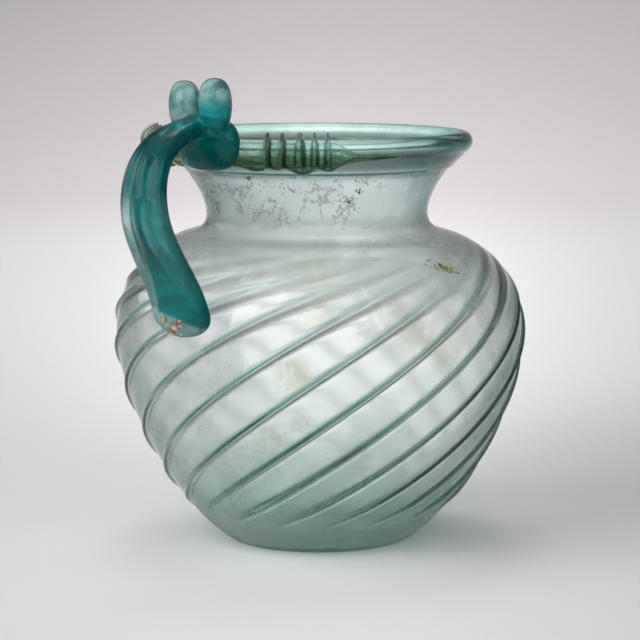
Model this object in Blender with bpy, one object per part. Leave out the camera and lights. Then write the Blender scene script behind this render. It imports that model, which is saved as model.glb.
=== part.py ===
"""A small jug of blown glass: a squat round body with twisted ribs, a funnel neck with a folded
rim, a strap handle with a thumb rest of two lobes, and a pinched trail on each side of it.

Metres, +Z up. The origin is the centre of the underside. The handle stands out along -X, and the
trail on its right, seen from outside, is towards -Y.
"""
import math

import bmesh
import bpy
import numpy as np

for old in list(bpy.data.objects):
    bpy.data.objects.remove(old, do_unlink=True)

# Fit between pieces that were fused while hot
gap = 0.0003

# Body: radius and height of the places that its outer line passes through
base_r = 0.0230
foot_r, foot_z, foot_angle = 0.0283, 0.0024, 37.0
wide_r, wide_z = 0.0571, 0.0592
turn_r, turn_z, turn_angle = 0.0386, 0.0863, 160.0
neck_r, neck_z = 0.0310, 0.0923
rim_r, rim_height = 0.0436, 0.1150
collar_height = 0.0096
fold_r, fold_angle = 0.0375, 48.0
fold_z = rim_height - collar_height
roll_radius = 0.0028
roll_join_angle, roll_inner_angle = -60.0, 195.0
fold_step = 0.0006

# How far each stretch of the line follows its end directions, as a share of its length
foot_pull, belly_pull, shoulder_pull = 0.40, 0.28, 0.37
throat_pull, throat_tug = 0.40, 0.50
funnel_pull, funnel_tug = 0.25, 0.34

# Glass thickness
base_thick = 0.0036
low_wall = 0.0020
wall = 0.0017
neck_wall = 0.0020
thin_from = 0.0260

# Ribs, from a ribbed mould, twisted as the jug was blown
rib_count = 18
rib_height = 0.0010
rib_width = 0.0074
rib_low, rib_high = 0.0055, 0.0875
rib_fade_low, rib_fade_high = 0.0090, 0.0160
rib_angle = -34.9
lean_low, lean_high, lean_bow = 54.8, 75.4, -12.1
rib_drift = 6.3
drift_facing = -130.8

# Handle: path of its middle line, radius from the jug's axis and height
handle_reach = 0.0694
reach_drop = 0.0185
reach_z = rim_height - reach_drop
handle_over = 0.0015
handle_low_z = 0.0632
bend_pull, bend_tug = 0.49, 0.40
fall_pull, fall_tug = 0.31, 0.38
start_angle, end_angle = 2.0, -92.0
handle_lean_top, handle_lean_low = -0.0016, 0.0052

# Strap: a flat section with rounded corners and a low bead along each edge of its outer face
strap_width, strap_foot_width = 0.0116, 0.0204
strap_thick = 0.0055
strap_bead = 0.0007
strap_corner = 0.6
tip_length = 0.0061
least_tip = 0.02

# Pad where the handle grips the rim, and the two upright lobes of the thumb rest
pad_half_width, pad_depth, pad_half_height = 0.0110, 0.0052, 0.0066
pad_lean = 0.0003
lobe_rise = 0.0158
far_lobe_lower = 0.0009
lobe_stand_off = 0.0030
lobe_apart = 0.0112
near_lobe_width, near_lobe_thick = 0.0106, 0.0082
far_lobe_width, far_lobe_thick = 0.0092, 0.0068
pad_fullness, lobe_fullness, lobe_waist = 0.8, 0.75, 0.14

# Pinched trails, as angles round the rim from the handle
trail_clearance_angle = 1.0
trail_band_end, trail_tail_end = 47.5, 72.0
trail_thick, tail_thick = 0.0021, 0.0005
trail_top_angle, trail_low_angle = 40.0, -60.0
tail_top_angle, tail_low_angle = 0.0, -45.0
trail_drop, trail_scallop = 0.0036, 0.0013
scallop_angle, scallop_spacing = 16.5, 19.5
drop_taper, least_drop = 3.0, 0.06
fin_reach = 0.0048
fin_rise = 0.0012
fin_width = 0.0019
fin_crest, fin_foot = 0.5, 1.7

# Across the trail, from its low edge to its top one: share of its thickness and of a fin's reach
trail_swell = (0.45, 0.80, 1.00, 1.00, 0.95, 0.55)
pinch_swell = (0.00, 0.35, 1.00, 1.00, 1.00, 1.00)
right_fins = (23.9, 29.5, 35.9, 41.2, 45.2)
left_fins = (25.0, 31.5, 38.5, 45.0)

# Fineness of the faceted surface
foot_steps, ribbed_steps, turn_steps, funnel_steps = 2, 24, 4, 3
rim_turn_steps = 7
inner_steps = 13
rib_stations = (0.0, 0.18, 0.5, 0.82)
strap_steps, strap_sides = 24, 12
pad_rows, pad_sides = 7, 14
lobe_rows, lobe_sides = 9, 12
tail_steps = 5


def stretch(start, leaving, pull, end, arriving, tug, steps):
    """Points of a smooth curve (a cubic with handles) between two (r, z) places.

    leaving and arriving are directions in degrees from the outward radius, and pull and tug say
    how far the curve follows them, as shares of the straight distance.
    """
    start, end = np.array(start, float), np.array(end, float)
    span = np.linalg.norm(end - start)
    away = np.array([math.cos(math.radians(leaving)), math.sin(math.radians(leaving))])
    onto = np.array([math.cos(math.radians(arriving)), math.sin(math.radians(arriving))])
    first, second = start + pull * span * away, end - tug * span * onto
    t = np.linspace(0, 1, steps + 1)[:, None]
    return ((1 - t) ** 3 * start + 3 * t * (1 - t) ** 2 * first
            + 3 * t * t * (1 - t) * second + t ** 3 * end)


def joined(*stretches):
    """Stretches end to end, with each shared point once."""
    return np.vstack([stretches[0]] + [s[1:] for s in stretches[1:]])


def evenly(line, lengths, steps):
    """Places on a line at even steps of the given length of each of its parts."""
    along = np.concatenate([[0], np.cumsum(lengths)])
    at = np.linspace(0, along[-1], steps + 1)
    return np.stack([np.interp(at, along, line[:, i]) for i in range(2)], 1)


def normals(line):
    """Unit normals of an (r, z) line, on its right-hand side, which is outside the glass."""
    step = np.gradient(line, axis=0)
    step /= np.linalg.norm(step, axis=1)[:, None]
    return np.stack([step[:, 1], -step[:, 0]], 1)


def foot_line(steps):
    """Outer (r, z) line round the base's edge."""
    return stretch((base_r, 0), 0, foot_pull, (foot_r, foot_z), foot_angle, foot_pull, steps)


def wall_line(steps=80):
    """Outer (r, z) line from the base's edge to the top of the shoulder, between the ribs."""
    foot, wide, turn = (foot_r, foot_z), (wide_r, wide_z), (turn_r, turn_z)
    return joined(
        foot_line(steps // 8),
        stretch(foot, foot_angle, belly_pull, wide, 90, belly_pull, steps),
        stretch(wide, 90, shoulder_pull, turn, turn_angle, shoulder_pull, steps),
    )


def neck_line(fineness=1):
    """Outer (r, z) line of the neck, from the shoulder to the edge of the folded rim."""
    turn, neck, fold = (turn_r, turn_z), (neck_r, neck_z), (fold_r, fold_z)
    return joined(
        stretch(turn, turn_angle, throat_pull, neck, 90, throat_tug, turn_steps * fineness),
        stretch(neck, 90, funnel_pull, fold, fold_angle, funnel_tug, funnel_steps * fineness),
    )


roll_centre = np.array([rim_r - roll_radius, rim_height - roll_radius])


def on_roll(angle, extra=0.0):
    """A place on the rim's round edge, by the angle from outward, and how far off the glass."""
    turn = math.radians(angle)
    return roll_centre + (roll_radius + extra) * np.array([math.cos(turn), math.sin(turn)])


def collar_line():
    """Outer line of the rim's fold: the step at its edge, then up to the round edge."""
    edge = np.array([fold_r + fold_step, fold_z])
    return np.array([edge, (edge + on_roll(roll_join_angle)) / 2, on_roll(roll_join_angle)])


def roll_line():
    """The round edge, from the collar over the top to the inside of the mouth."""
    angles = np.linspace(roll_join_angle, roll_inner_angle, rim_turn_steps + 1)
    return np.array([on_roll(a) for a in angles[1:]])


def inner_line():
    """Inner (r, z) line from the mouth down to the base, at the glass's thickness."""
    line = joined(wall_line(), neck_line(4))
    height = line[:, 1]
    thick = np.interp(height, [0, foot_z, thin_from, wide_z, turn_z, neck_z],
                      [base_thick, base_thick, low_wall, wall, wall, neck_wall])
    inner = line - normals(line) * thick[:, None]
    inner = inner[::-1]
    return evenly(inner, np.linalg.norm(np.diff(inner, axis=0), axis=1), inner_steps)


def twist(height):
    """Degrees that the ribs have turned at a height: their lean is followed along the wall."""
    line = wall_line()
    run = np.linalg.norm(np.diff(line, axis=0), axis=1)
    mid = (line[1:] + line[:-1]) / 2
    share = (mid[:, 1] - rib_low) / (rib_high - rib_low)
    lean = lean_low + (lean_high - lean_low) * share + lean_bow * 4 * share * (1 - share)
    turned = np.concatenate([[0], np.cumsum(np.tan(np.radians(lean)) * run / mid[:, 0])])
    turned = np.degrees(turned)
    level = np.clip(height, rib_low, rib_high)
    return np.interp(level, line[:, 1], turned) - np.interp(wide_z, line[:, 1], turned)


def ribbed_line():
    """The wall's (r, z) line with its places at even steps along a rib, not along the wall."""
    line = wall_line()
    foot = int(np.argmax(line[:, 1] >= foot_z - 1e-9))
    line = line[foot:]
    run = np.linalg.norm(np.diff(line, axis=0), axis=1)
    turn = np.radians(np.diff(twist(line[:, 1]))) * (line[1:, 0] + line[:-1, 0]) / 2
    return joined(foot_line(foot_steps), evenly(line, np.hypot(run, turn), ribbed_steps))


def rib_angles(height):
    """Polar angles, in degrees, of every column of the ribbed wall at one height."""
    share = (np.arange(rib_count)[:, None] + np.array(rib_stations)[None, :]).ravel()
    even = rib_angle + 360 / rib_count * share + twist(height)
    return even + rib_drift * np.cos(np.radians(even - drift_facing))


def rib_relief(line):
    """How far each column of each row stands out, as a sharp ridge that fades at both ends."""
    height = line[:, 1]
    start = np.clip((height - rib_low) / rib_fade_low, 0, 1)
    stop = np.clip((rib_high - height) / rib_fade_high, 0, 1)
    fade = (start * start * (3 - 2 * start)) * (stop * stop * (3 - 2 * stop))
    spacing = 2 * math.pi * np.maximum(line[:, 0], base_r) / rib_count
    station = np.tile(np.array(rib_stations), rib_count)
    off_crest = np.minimum(station, 1 - station)
    ridge = np.clip(1 - off_crest[None, :] * spacing[:, None] / (rib_width / 2), 0, 1)
    return rib_height * fade[:, None] * ridge


def ribbed_rows(line, grown=0.0):
    """Rings of points for the ribbed wall, one array of x, y, z for each place on its line."""
    outward = normals(line)
    relief = rib_relief(line)
    rings = []
    for place, away, ridge in zip(line, outward, relief):
        angle = np.radians(rib_angles(place[1]))
        radius = place[0] + away[0] * (grown + ridge)
        rise = place[1] + away[1] * (grown + ridge)
        rings.append(np.stack([radius * np.cos(angle), radius * np.sin(angle), rise], 1))
    return rings


def plain_rows(line, angles):
    """Rings of points for a plain turned stretch."""
    turn = np.radians(angles)
    return [np.stack([r * np.cos(turn), r * np.sin(turn), np.full(len(turn), z)], 1)
            for r, z in line]


def ring_faces(lower, upper):
    """Triangles between two closed rings of point numbers, of equal count or two to one."""
    faces = []
    n, m = len(lower), len(upper)
    if n == m:
        for i in range(n):
            j = (i + 1) % n
            faces += [(lower[i], lower[j], upper[i]), (lower[j], upper[j], upper[i])]
        return faces
    for k in range(m):
        a, b, c = lower[2 * k], lower[2 * k + 1], lower[(2 * k + 2) % n]
        faces += [(a, b, upper[k]), (b, upper[(k + 1) % m], upper[k]),
                  (b, c, upper[(k + 1) % m])]
    return faces


def closed_mesh(name, rings, first, last):
    """A closed mesh over rings of points, from the first pole to the last."""
    points, numbers = [np.array(first, float)[None, :]], []
    count = 1
    for ring in rings:
        numbers.append(list(range(count, count + len(ring))))
        points.append(ring)
        count += len(ring)
    points.append(np.array(last, float)[None, :])
    faces = [(0, numbers[0][(i + 1) % len(numbers[0])], numbers[0][i])
             for i in range(len(numbers[0]))]
    for low, high in zip(numbers[:-1], numbers[1:]):
        faces += ring_faces(low, high)
    faces += [(numbers[-1][i], numbers[-1][(i + 1) % len(numbers[-1])], count)
              for i in range(len(numbers[-1]))]
    mesh = bpy.data.meshes.new(name)
    mesh.from_pydata(np.vstack(points).tolist(), [], faces)
    work = bmesh.new()
    work.from_mesh(mesh)
    bmesh.ops.recalc_face_normals(work, faces=work.faces)
    work.to_mesh(mesh)
    work.free()
    mesh.shade_smooth()
    mesh.set_sharp_from_angle(angle=math.radians(50))
    return mesh


def glass(name, colour, roughness):
    """A see-through glass of one colour."""
    material = bpy.data.materials.new(name)
    material.use_nodes = True
    shader = material.node_tree.nodes["Principled BSDF"]
    shader.inputs["Base Color"].default_value = (*colour, 1)
    shader.inputs["Roughness"].default_value = roughness
    shader.inputs["Metallic"].default_value = 0
    shader.inputs["IOR"].default_value = 1.5
    shader.inputs["Transmission Weight"].default_value = 0.9
    material.diffuse_color = (*colour, 1)
    return material


def placed(name, mesh, material):
    """A named object that shows a mesh in a material."""
    thing = bpy.data.objects.new(name, mesh)
    bpy.context.collection.objects.link(thing)
    mesh.materials.append(material)
    return thing


def cutter(name, mesh):
    """A mesh that only cuts others."""
    thing = bpy.data.objects.new(name, mesh)
    bpy.context.collection.objects.link(thing)
    thing.hide_render = True
    thing.display_type = "WIRE"
    return thing


def boolean(thing, other, operation):
    """Adds an exact Boolean of another object to a thing."""
    step = thing.modifiers.new(operation.title(), "BOOLEAN")
    step.operation = operation
    step.solver = "EXACT"
    step.object = other


def body_rings(grown=0.0):
    """Rings of the outer surface, from the base's edge over the rim, and the rim's angles."""
    angles = rib_angles(rib_high)
    neck = neck_line()[1:]
    rim = np.vstack([collar_line(), roll_line()])
    above = np.vstack([neck, rim])
    above = above + normals(above) * grown
    return ribbed_rows(ribbed_line(), grown), plain_rows(above, angles), angles[::2]


def jug_body():
    """The blown vessel: hollow, open at the mouth, flat under the base."""
    lower, upper, inner_angles = body_rings()
    inside = plain_rows(inner_line(), inner_angles)
    rings = lower + upper + inside
    return closed_mesh("jug_body", rings, (0, 0, 0), (0, 0, base_thick))


def grown_body():
    """The body's outer shape, filled and larger by the gap, which the handle is cut to."""
    lower, upper, _ = body_rings(gap)
    top = int(np.argmax([ring[0, 2] for ring in upper]))
    lid = (0, 0, upper[top][0, 2])
    return closed_mesh("grown_body", lower + upper[:top + 1], (0, 0, -gap), lid)


def round_end(distance, length):
    """Share of the full width at a distance from an end that is rounded over a length."""
    left = 1 - np.minimum(distance / length, 1)
    return np.sqrt(np.clip(1 - left ** 2, least_tip, 1))


def handle_path():
    """Places (r, z) on the strap's middle line, with its sideways lean, width and thickness.

    It leaves the rim, bends over at its reach and comes down onto the body. The lean is how far
    it is to the right of the handle's plane, seen from outside.
    """
    over = rim_height + strap_thick / 2 - roll_radius / 3 + handle_over
    wall_r, wall_z = wall_line().T
    foot = np.interp(handle_low_z, wall_z, wall_r) + gap + strap_thick / 2
    start, bend, end = (roll_centre[0], over), (handle_reach, reach_z), (foot, handle_low_z)
    top_steps = strap_steps // 2
    line = joined(
        stretch(start, start_angle, bend_pull, bend, -90, bend_tug, top_steps),
        stretch(bend, -90, fall_pull, end, end_angle, fall_tug, strap_steps - top_steps),
    )
    along = np.concatenate([[0], np.cumsum(np.linalg.norm(np.diff(line, axis=0), axis=1))])
    share = along / along[-1]
    ease = share * share * (3 - 2 * share)
    lean = handle_lean_top + (handle_lean_low - handle_lean_top) * ease
    width = strap_width + (strap_foot_width - strap_width) * ease
    tip = round_end(along[-1] - along, tip_length) * round_end(along, strap_thick)
    return line, lean, width * tip, strap_thick * np.sqrt(tip)


def strap():
    """The strap, swept along its path: a flat section with a low bead along each edge."""
    line, lean, width, thick = handle_path()
    outward = -normals(line)
    turn = np.arange(strap_sides) * 2 * math.pi / strap_sides
    across = np.sign(np.cos(turn)) * np.abs(np.cos(turn)) ** strap_corner
    deep = np.sign(np.sin(turn)) * np.abs(np.sin(turn)) ** strap_corner
    bead = strap_bead * np.clip(deep, 0, 1) * (2 * across ** 2 - 1)
    rings = []
    for place, away, s, w, d in zip(line, outward, lean, width, thick):
        off = deep * d / 2 + bead * d / strap_thick
        r, z = place[0] + away[0] * off, place[1] + away[1] * off
        rings.append(np.stack([-r, -(s + across * w / 2), z], 1))
    ends = [np.array([-line[i, 0], -lean[i], line[i, 1]]) for i in (0, -1)]
    return closed_mesh("strap_handle", rings, ends[0], ends[1])


def rounded(name, centre, half, sides, rows, fullness, waist=0.0):
    """A closed egg-like lump with half sizes along the radius, across it and upwards.

    Its waist is the share of its width that it loses from its top to its foot.
    """
    rings = []
    for i in range(1, rows):
        tilt = -math.pi / 2 + math.pi * i / rows
        ring = math.cos(tilt) ** fullness * (1 - waist * (1 - math.sin(tilt)) / 2)
        turn = np.arange(sides) * 2 * math.pi / sides
        rings.append(np.stack([-(centre[0] + half[0] * ring * np.cos(turn)),
                               -(centre[1] + half[1] * ring * np.sin(turn)),
                               np.full(sides, centre[2] + half[2] * math.sin(tilt))], 1))
    poles = [(-centre[0], -centre[1], centre[2] + sign * half[2]) for sign in (-1, 1)]
    return closed_mesh(name, rings, poles[0], poles[1])


def handle(material):
    """The strap with its pad on the rim and the thumb rest, cut to fit the body."""
    strap_top = rim_height + handle_over + strap_thick - roll_radius / 3
    lobe_r = rim_r + lobe_stand_off
    thing = placed("strap_handle", strap(), material)
    lumps = [rounded("pad", (rim_r, pad_lean, (fold_z + strap_top) / 2),
                     (pad_depth, pad_half_width, pad_half_height),
                     pad_sides, pad_rows, pad_fullness)]
    for side, width, thick, lower in ((1, near_lobe_width, near_lobe_thick, 0),
                                      (-1, far_lobe_width, far_lobe_thick, far_lobe_lower)):
        top, low = rim_height + lobe_rise - lower, strap_top - strap_thick
        centre = (lobe_r, pad_lean + side * lobe_apart / 2, (top + low) / 2)
        lumps.append(rounded("lobe", centre, (thick / 2, width / 2, (top - low) / 2),
                             lobe_sides, lobe_rows, lobe_fullness, lobe_waist))
    for mesh in lumps:
        boolean(thing, cutter(mesh.name, mesh), "UNION")
    boolean(thing, cutter("grown_body", grown_body()), "DIFFERENCE")
    return thing


def fin_shape(angles, fins):
    """How far a trail is pinched out, 0 to 1, at each angle round the rim."""
    half = math.degrees(fin_width / rim_r) / 2
    apart = np.abs(np.asarray(angles)[:, None] - np.asarray(fins)[None, :]) / half
    return np.clip((fin_foot - apart) / (fin_foot - fin_crest), 0, 1).max(axis=1)


def trail_angles(fins):
    """Angles round the rim at which a trail has a section: closer together at its fins."""
    start = math.degrees(pad_half_width / rim_r) + trail_clearance_angle
    half = math.degrees(fin_width / rim_r) / 2
    angles = [start, (start + fins[0]) / 2]
    for fin in fins:
        angles += [fin + half * step for step in (-fin_foot, -fin_crest, fin_crest, fin_foot)]
    angles += list(np.linspace(trail_band_end, trail_tail_end, tail_steps))
    return np.array(angles)


def trail(name, side, fins, material):
    """A trail laid along the rim's outer side and pinched into upright fins.

    Each section starts below the round edge, goes up its outside at the gap from the glass, and
    comes back down at the trail's thickness.
    """
    angles = trail_angles(fins)
    pinch = fin_shape(angles, fins)
    tail = np.clip((angles - trail_band_end) / (trail_tail_end - trail_band_end), 0, 1)
    scallop = trail_scallop * np.cos(np.radians(360 * (angles - scallop_angle) / scallop_spacing))
    rings = []
    for angle, fin, run, hang in zip(angles, pinch, tail, scallop):
        drop = (trail_drop + hang) * max(1 - drop_taper * run, least_drop)
        low_angle = trail_low_angle * (1 - run) + tail_low_angle * run
        low = on_roll(low_angle)
        slope = (collar_line()[0] - low) / np.linalg.norm(collar_line()[0] - low)
        away = np.array([-slope[1], slope[0]])
        top_angle = trail_top_angle * (1 - run) + tail_top_angle * run
        around = np.linspace(low_angle, top_angle, len(trail_swell) - 1)
        inner = [low + slope * drop + away * gap] + [on_roll(a, gap) for a in around]
        thick = trail_thick * (1 - run) + tail_thick * run
        lift = np.array(trail_swell) * thick + np.array(pinch_swell) * fin_reach * fin
        outer = [inner[0] + away * lift[0]]
        outer += [on_roll(a, gap + out) for a, out in zip(around, lift[1:])]
        outer[-1] = outer[-1] + np.array([0.0, fin_rise * fin])
        section = np.array(inner + outer[::-1])
        turn = math.radians(180 + side * angle)
        rings.append(np.stack([section[:, 0] * math.cos(turn), section[:, 0] * math.sin(turn),
                               section[:, 1]], 1))
    mesh = closed_mesh(name, rings, rings[0].mean(axis=0), rings[-1].mean(axis=0))
    return placed(name, mesh, material)


blue_green = glass("pale blue-green glass", (0.60, 0.76, 0.72), 0.08)
teal = glass("deep teal glass", (0.02, 0.29, 0.28), 0.06)
dark_green = glass("dark green glass", (0.05, 0.21, 0.12), 0.10)

placed("jug_body", jug_body(), blue_green)
handle(teal)
trail("pinched_trail_right", 1, right_fins, dark_green)
trail("pinched_trail_left", -1, left_fins, dark_green)
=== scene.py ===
"""Looks of a small jug of blown glass: pale blue-green body with twisted ribs, deep teal handle,
dark green pinched trails, old film and crust on the glass, and a plain pale studio round it.

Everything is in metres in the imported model's frame: +Z up, the origin at the middle of the
underside, the handle towards -X and the near trail towards -Y.
"""

import math

import bpy
import numpy as np
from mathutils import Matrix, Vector


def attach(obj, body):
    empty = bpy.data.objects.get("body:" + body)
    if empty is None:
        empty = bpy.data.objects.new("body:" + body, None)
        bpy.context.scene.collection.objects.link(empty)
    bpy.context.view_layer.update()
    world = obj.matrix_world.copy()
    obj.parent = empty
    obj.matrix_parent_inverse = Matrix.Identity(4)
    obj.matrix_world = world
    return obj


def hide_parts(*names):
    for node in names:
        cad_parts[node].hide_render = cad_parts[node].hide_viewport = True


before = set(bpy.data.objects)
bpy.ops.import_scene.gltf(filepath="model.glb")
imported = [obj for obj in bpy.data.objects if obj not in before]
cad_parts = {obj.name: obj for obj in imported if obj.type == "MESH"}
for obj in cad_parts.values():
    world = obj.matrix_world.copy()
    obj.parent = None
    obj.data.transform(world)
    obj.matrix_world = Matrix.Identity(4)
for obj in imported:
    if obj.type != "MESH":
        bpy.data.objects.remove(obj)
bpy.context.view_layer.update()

# Vessel: places that its outer line passes through
base_r = 0.023
foot_r, foot_z, foot_angle = 0.0283, 0.0024, 37.0
wide_r, wide_z = 0.0571, 0.0592
turn_r, turn_z, turn_angle = 0.0386, 0.0863, 160.0
neck_r, neck_z = 0.031, 0.0923
fold_r, fold_z, fold_angle = 0.0375, 0.1054, 48.0
rim_r, rim_height = 0.0436, 0.115
roll_radius = 0.0028
roll_join_angle, roll_inner_angle = -60.0, 200.0
fold_step = 0.0006
foot_pull, belly_pull, shoulder_pull = 0.4, 0.28, 0.37
throat_pull, throat_tug = 0.4, 0.5
funnel_pull, funnel_tug = 0.25, 0.34

# Glass thickness, and the low rise in the middle of the base with the iron's scar under it
base_thick, low_wall, wall, neck_wall = 0.002, 0.0012, 0.0009, 0.0011
thin_from = 0.0075
kick_height, kick_r = 0.0016, 0.021
scar_r, scar_width, scar_depth = 0.0068, 0.0012, 0.0003

# Ribs
rib_count = 18
rib_height, rib_half_width, rib_broader = 0.00085, 0.0007, 2.2
rib_low, rib_high = 0.0085, 0.0875
rib_fade_low, rib_fade_high = 0.007, 0.022
rib_angle = -34.9
lean_low, lean_high, lean_bow = 54.8, 75.4, -12.1
rib_drift, drift_facing = 6.3, -130.8
flank_fade, flank_width, flank_shift = 0.6, 1.45, 0.38

# How finely the vessel's skin is divided
rib_columns, rib_crowding, pole_r = 22, 0.78, 0.0008
under_rows, belly_rows, neck_rows, rim_rows, inner_rows, floor_rows = 24, 118, 26, 40, 74, 16

# The blower's unevenness: the neck stands a little to one side of the body
sway = 0.0008
sway_low, sway_high = 0.07, 0.1
sway_facing = 132.0

# Handle
embed = 0.0003
handle_reach, reach_z = 0.0694, 0.0965
handle_over, handle_low_z = 0.0015, 0.0632
bend_pull, bend_tug = 0.49, 0.4
fall_pull, fall_tug = 0.31, 0.38
start_angle, end_angle = 2.0, -92.0
handle_lean_top, handle_lean_low = -0.0016, 0.0052
strap_width, strap_foot_width, strap_thick = 0.0116, 0.0204, 0.0055
strap_corner, ridge_top, ridge_low = 0.62, 0.02, -0.52
tip_length = 0.0061
pad_half_width, pad_depth, pad_half_height = 0.011, 0.0052, 0.007
pad_fullness = 0.5
pad_lean = 0.0003
lobe_rise, far_lobe_lower, lobe_stand_off, lobe_apart = 0.0161, 0.0009, 0.003, 0.0112
near_lobe_width, near_lobe_thick = 0.011, 0.0086
far_lobe_width, far_lobe_thick = 0.0108, 0.0078
lobe_fullness, lobe_waist = 0.75, 0.14
strap_sides, melt_size = 72, 0.0004

# Pinched trails, as angles round the rim from the handle
trail_start_angle = 14.0
trail_band_end, trail_tail_end = 47.5, 74.0
trail_thick, tail_thick = 0.0021, 0.0004
trail_top_angle, trail_low_angle = 42.0, -60.0
tail_top_angle, tail_low_angle = -26.0, -45.0
trail_drop, trail_scallop, hang_blob = 0.0036, 0.0015, 0.001
trail_hangs = ((19.5, 4.5, 0.62), (28.0, 3.0, 0.4), (37.0, 4.8, 1.0), (46.5, 3.2, 0.55))
near_fin_reach, far_fin_reach, fin_rise = 0.0034, 0.005, 0.0019
band_thin = 0.75
fin_low_share, fin_narrowing = 0.85, 0.45
drop_taper, least_drop, tail_narrowing, trail_tip = 3.0, 0.06, 2.5, 3.0
trail_steps, trail_up_steps, trail_skirt_steps = 260, 15, 7
right_fins = ((25.1, 0.0016), (30.3, 0.0017), (36.4, 0.0026), (41.4, 0.0019), (45.9, 0.0016))
left_fins = ((25.0, 0.0022), (31.5, 0.0018), (38.5, 0.0022), (45.0, 0.0018))

# Old crust: clumps of crumbs (angle, height, half length, half width, slope, count, size), and
# the crumbs on the handle's end
crust_clumps = (
    (-94.0, 0.0804, 0.0078, 0.0022, -22, 44, 0.00042),
    (-92.5, 0.0796, 0.0028, 0.0012, -30, 16, 0.00056),
    (-150.0, 0.1012, 0.006, 0.0022, -20, 30, 0.00021),
    (-168.6, 0.104, 0.0022, 0.0008, 10, 18, 0.00032),
    (-147.0, 0.1046, 0.003, 0.0008, 0, 16, 0.00022),
    (-122.0, 0.0975, 0.0055, 0.0012, -42, 30, 0.00022),
    (-119.0, 0.1005, 0.001, 0.0016, 80, 12, 0.00038),
    (177.0, 0.105, 0.003, 0.001, 0, 12, 0.00026),
)
crumb_sink, crumb_rings, crumb_sides = 0.0001, 5, 18
end_crumbs, end_crumb_size = 46, 0.00095

# Finish of the glass: stains (x, y, z, reach, strength), waves, film and depth of colour
stain_places = (
    (-0.0402, -0.037, 0.0709, 0.007, 0.8), (-0.0459, -0.0333, 0.0546, 0.008, 0.9),
    (-0.0456, -0.0241, 0.0362, 0.007, 0.7), (-0.0192, -0.0534, 0.0642, 0.01, 0.7),
    (-0.0028, -0.0483, 0.0802, 0.008, 0.8), (-0.0305, 0.0194, 0.1033, 0.007, 0.9),
    (-0.011, -0.0559, 0.0588, 0.008, 0.7), (-0.035, -0.03, 0.08, 0.009, 0.8),
    (-0.025, -0.049, 0.069, 0.009, 0.7),
)
clear_places = (
    (-0.044, -0.0352, 0.064, 0.026, 1.0), (-0.042, -0.0335, 0.045, 0.022, 1.0),
    (-0.033, -0.044, 0.056, 0.018, 0.9), (-0.0512, -0.015, 0.0732, 0.012, 0.7),
    (0.04, 0.038, 0.062, 0.034, 1.0),
)
wave_height, streak_height, mottle_height, grain_height = 0.00022, 0.00004, 0.00012, 0.00015
# Share of the ribs' tint, which is partly painted shade, and how much paler it is on the far ribs
rib_tint_and_shade, edge_tint, far_rib_paler = 0.92, 0.75, 0.65
lace_facing, lace_heights = (-0.99, -0.139, 0.0), (0.089, 0.0925, 0.104, 0.1065)
lace_strength, pit_strength = 0.75, 0.8
ring_spacing, ring_height, ring_heights = 0.0021, 0.00001, (0.088, 0.091, 0.094, 0.098)
clean_roughness, film_roughness, inside_roughness = 0.02, 0.09, 0.17
base_roughness, far_roughness, lace_roughness, neck_roughness = 0.26, 0.22, 0.4, 0.07
body_density, handle_density, trail_density, old_trail_density = 50, 170, 170, 60
body_index, handle_index, trail_index = 1.45, 1.3, 1.5
handle_gloss, handle_clearness, trail_clearness = 0.3, 0.73, 0.93

# Tones: glass in depth, what lies on it, ribs (partly painted shade), trails and crusts
body_depth, handle_depth, trail_depth = (0.12, 0.52, 0.45), (0.05, 0.6, 0.58), (0.06, 0.48, 0.32)
clear_tone, body_milk, stain_tone = (1, 1, 1), (0.765, 0.8, 0.79), (0.69, 0.63, 0.46)
speck_tone, seed_tone, lace_tone = (0.78, 0.7, 0.55), (0.45, 0.44, 0.36), (0.26, 0.22, 0.14)
# The ribs' tones: partly the ribs' own deeper green, partly painted shade for the dark lines that the ribs
# draw by refraction
edge_tone, rib_edge_shade_tone = (0.2, 0.6, 0.52), (0.03, 0.3, 0.23)
rib_low_tone, rib_high_tone = (0.2, 0.5, 0.43), (0.34, 0.45, 0.41)
near_clear, near_dull = (0.8, 0.97, 0.93), (0.14, 0.25, 0.12)
far_clear, far_dull = (0.88, 0.9, 0.8), (0.5, 0.42, 0.26)
olive_tones = (0.16, 0.14, 0.06), (0.42, 0.4, 0.24)
brown_tones = (0.16, 0.08, 0.04), (0.64, 0.54, 0.44)

# Washes over the body: heights that they rise and fall between, how aslant the glass is seen,
# their tone, and the side of the glass for those on one side only
body_washes = (
    ((0.064, 0.078, 0.086, 0.094), None, (0.98, 1.0, 0.99)),  # shoulder
    ((0.026, 0.036, 0.05, 0.062), None, (0.94, 0.965, 0.955)),  # belly
    ((0.086, 0.094, None, None), None, (0.94, 0.998, 0.992)),  # neck
    ((0.086, 0.094, None, None), (0.25, 0.9), (0.66, 0.88, 0.86)),  # neck's edges
    ((0.1055, 0.108, None, None), None, (0.94, 0.99, 0.98)),  # collar
    ((0.106, 0.108, 0.112, 0.1142), None, (0.84, 0.97, 0.93)),  # rim
    ((0.106, 0.108, 0.112, 0.1142), (0.15, 0.7), (0.22, 0.56, 0.53)),  # rim's edges
    ((0.1044, 0.1052, 0.1058, 0.1066), None, (0.5, 0.82, 0.78), "outside"),  # fold
    ((None, None, 0.009, 0.03), None, (0.84, 0.99, 0.94)),  # base
    ((None, None, 0.004, 0.01), None, (0.84, 0.95, 0.92), "inside"),  # floor
)
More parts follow.
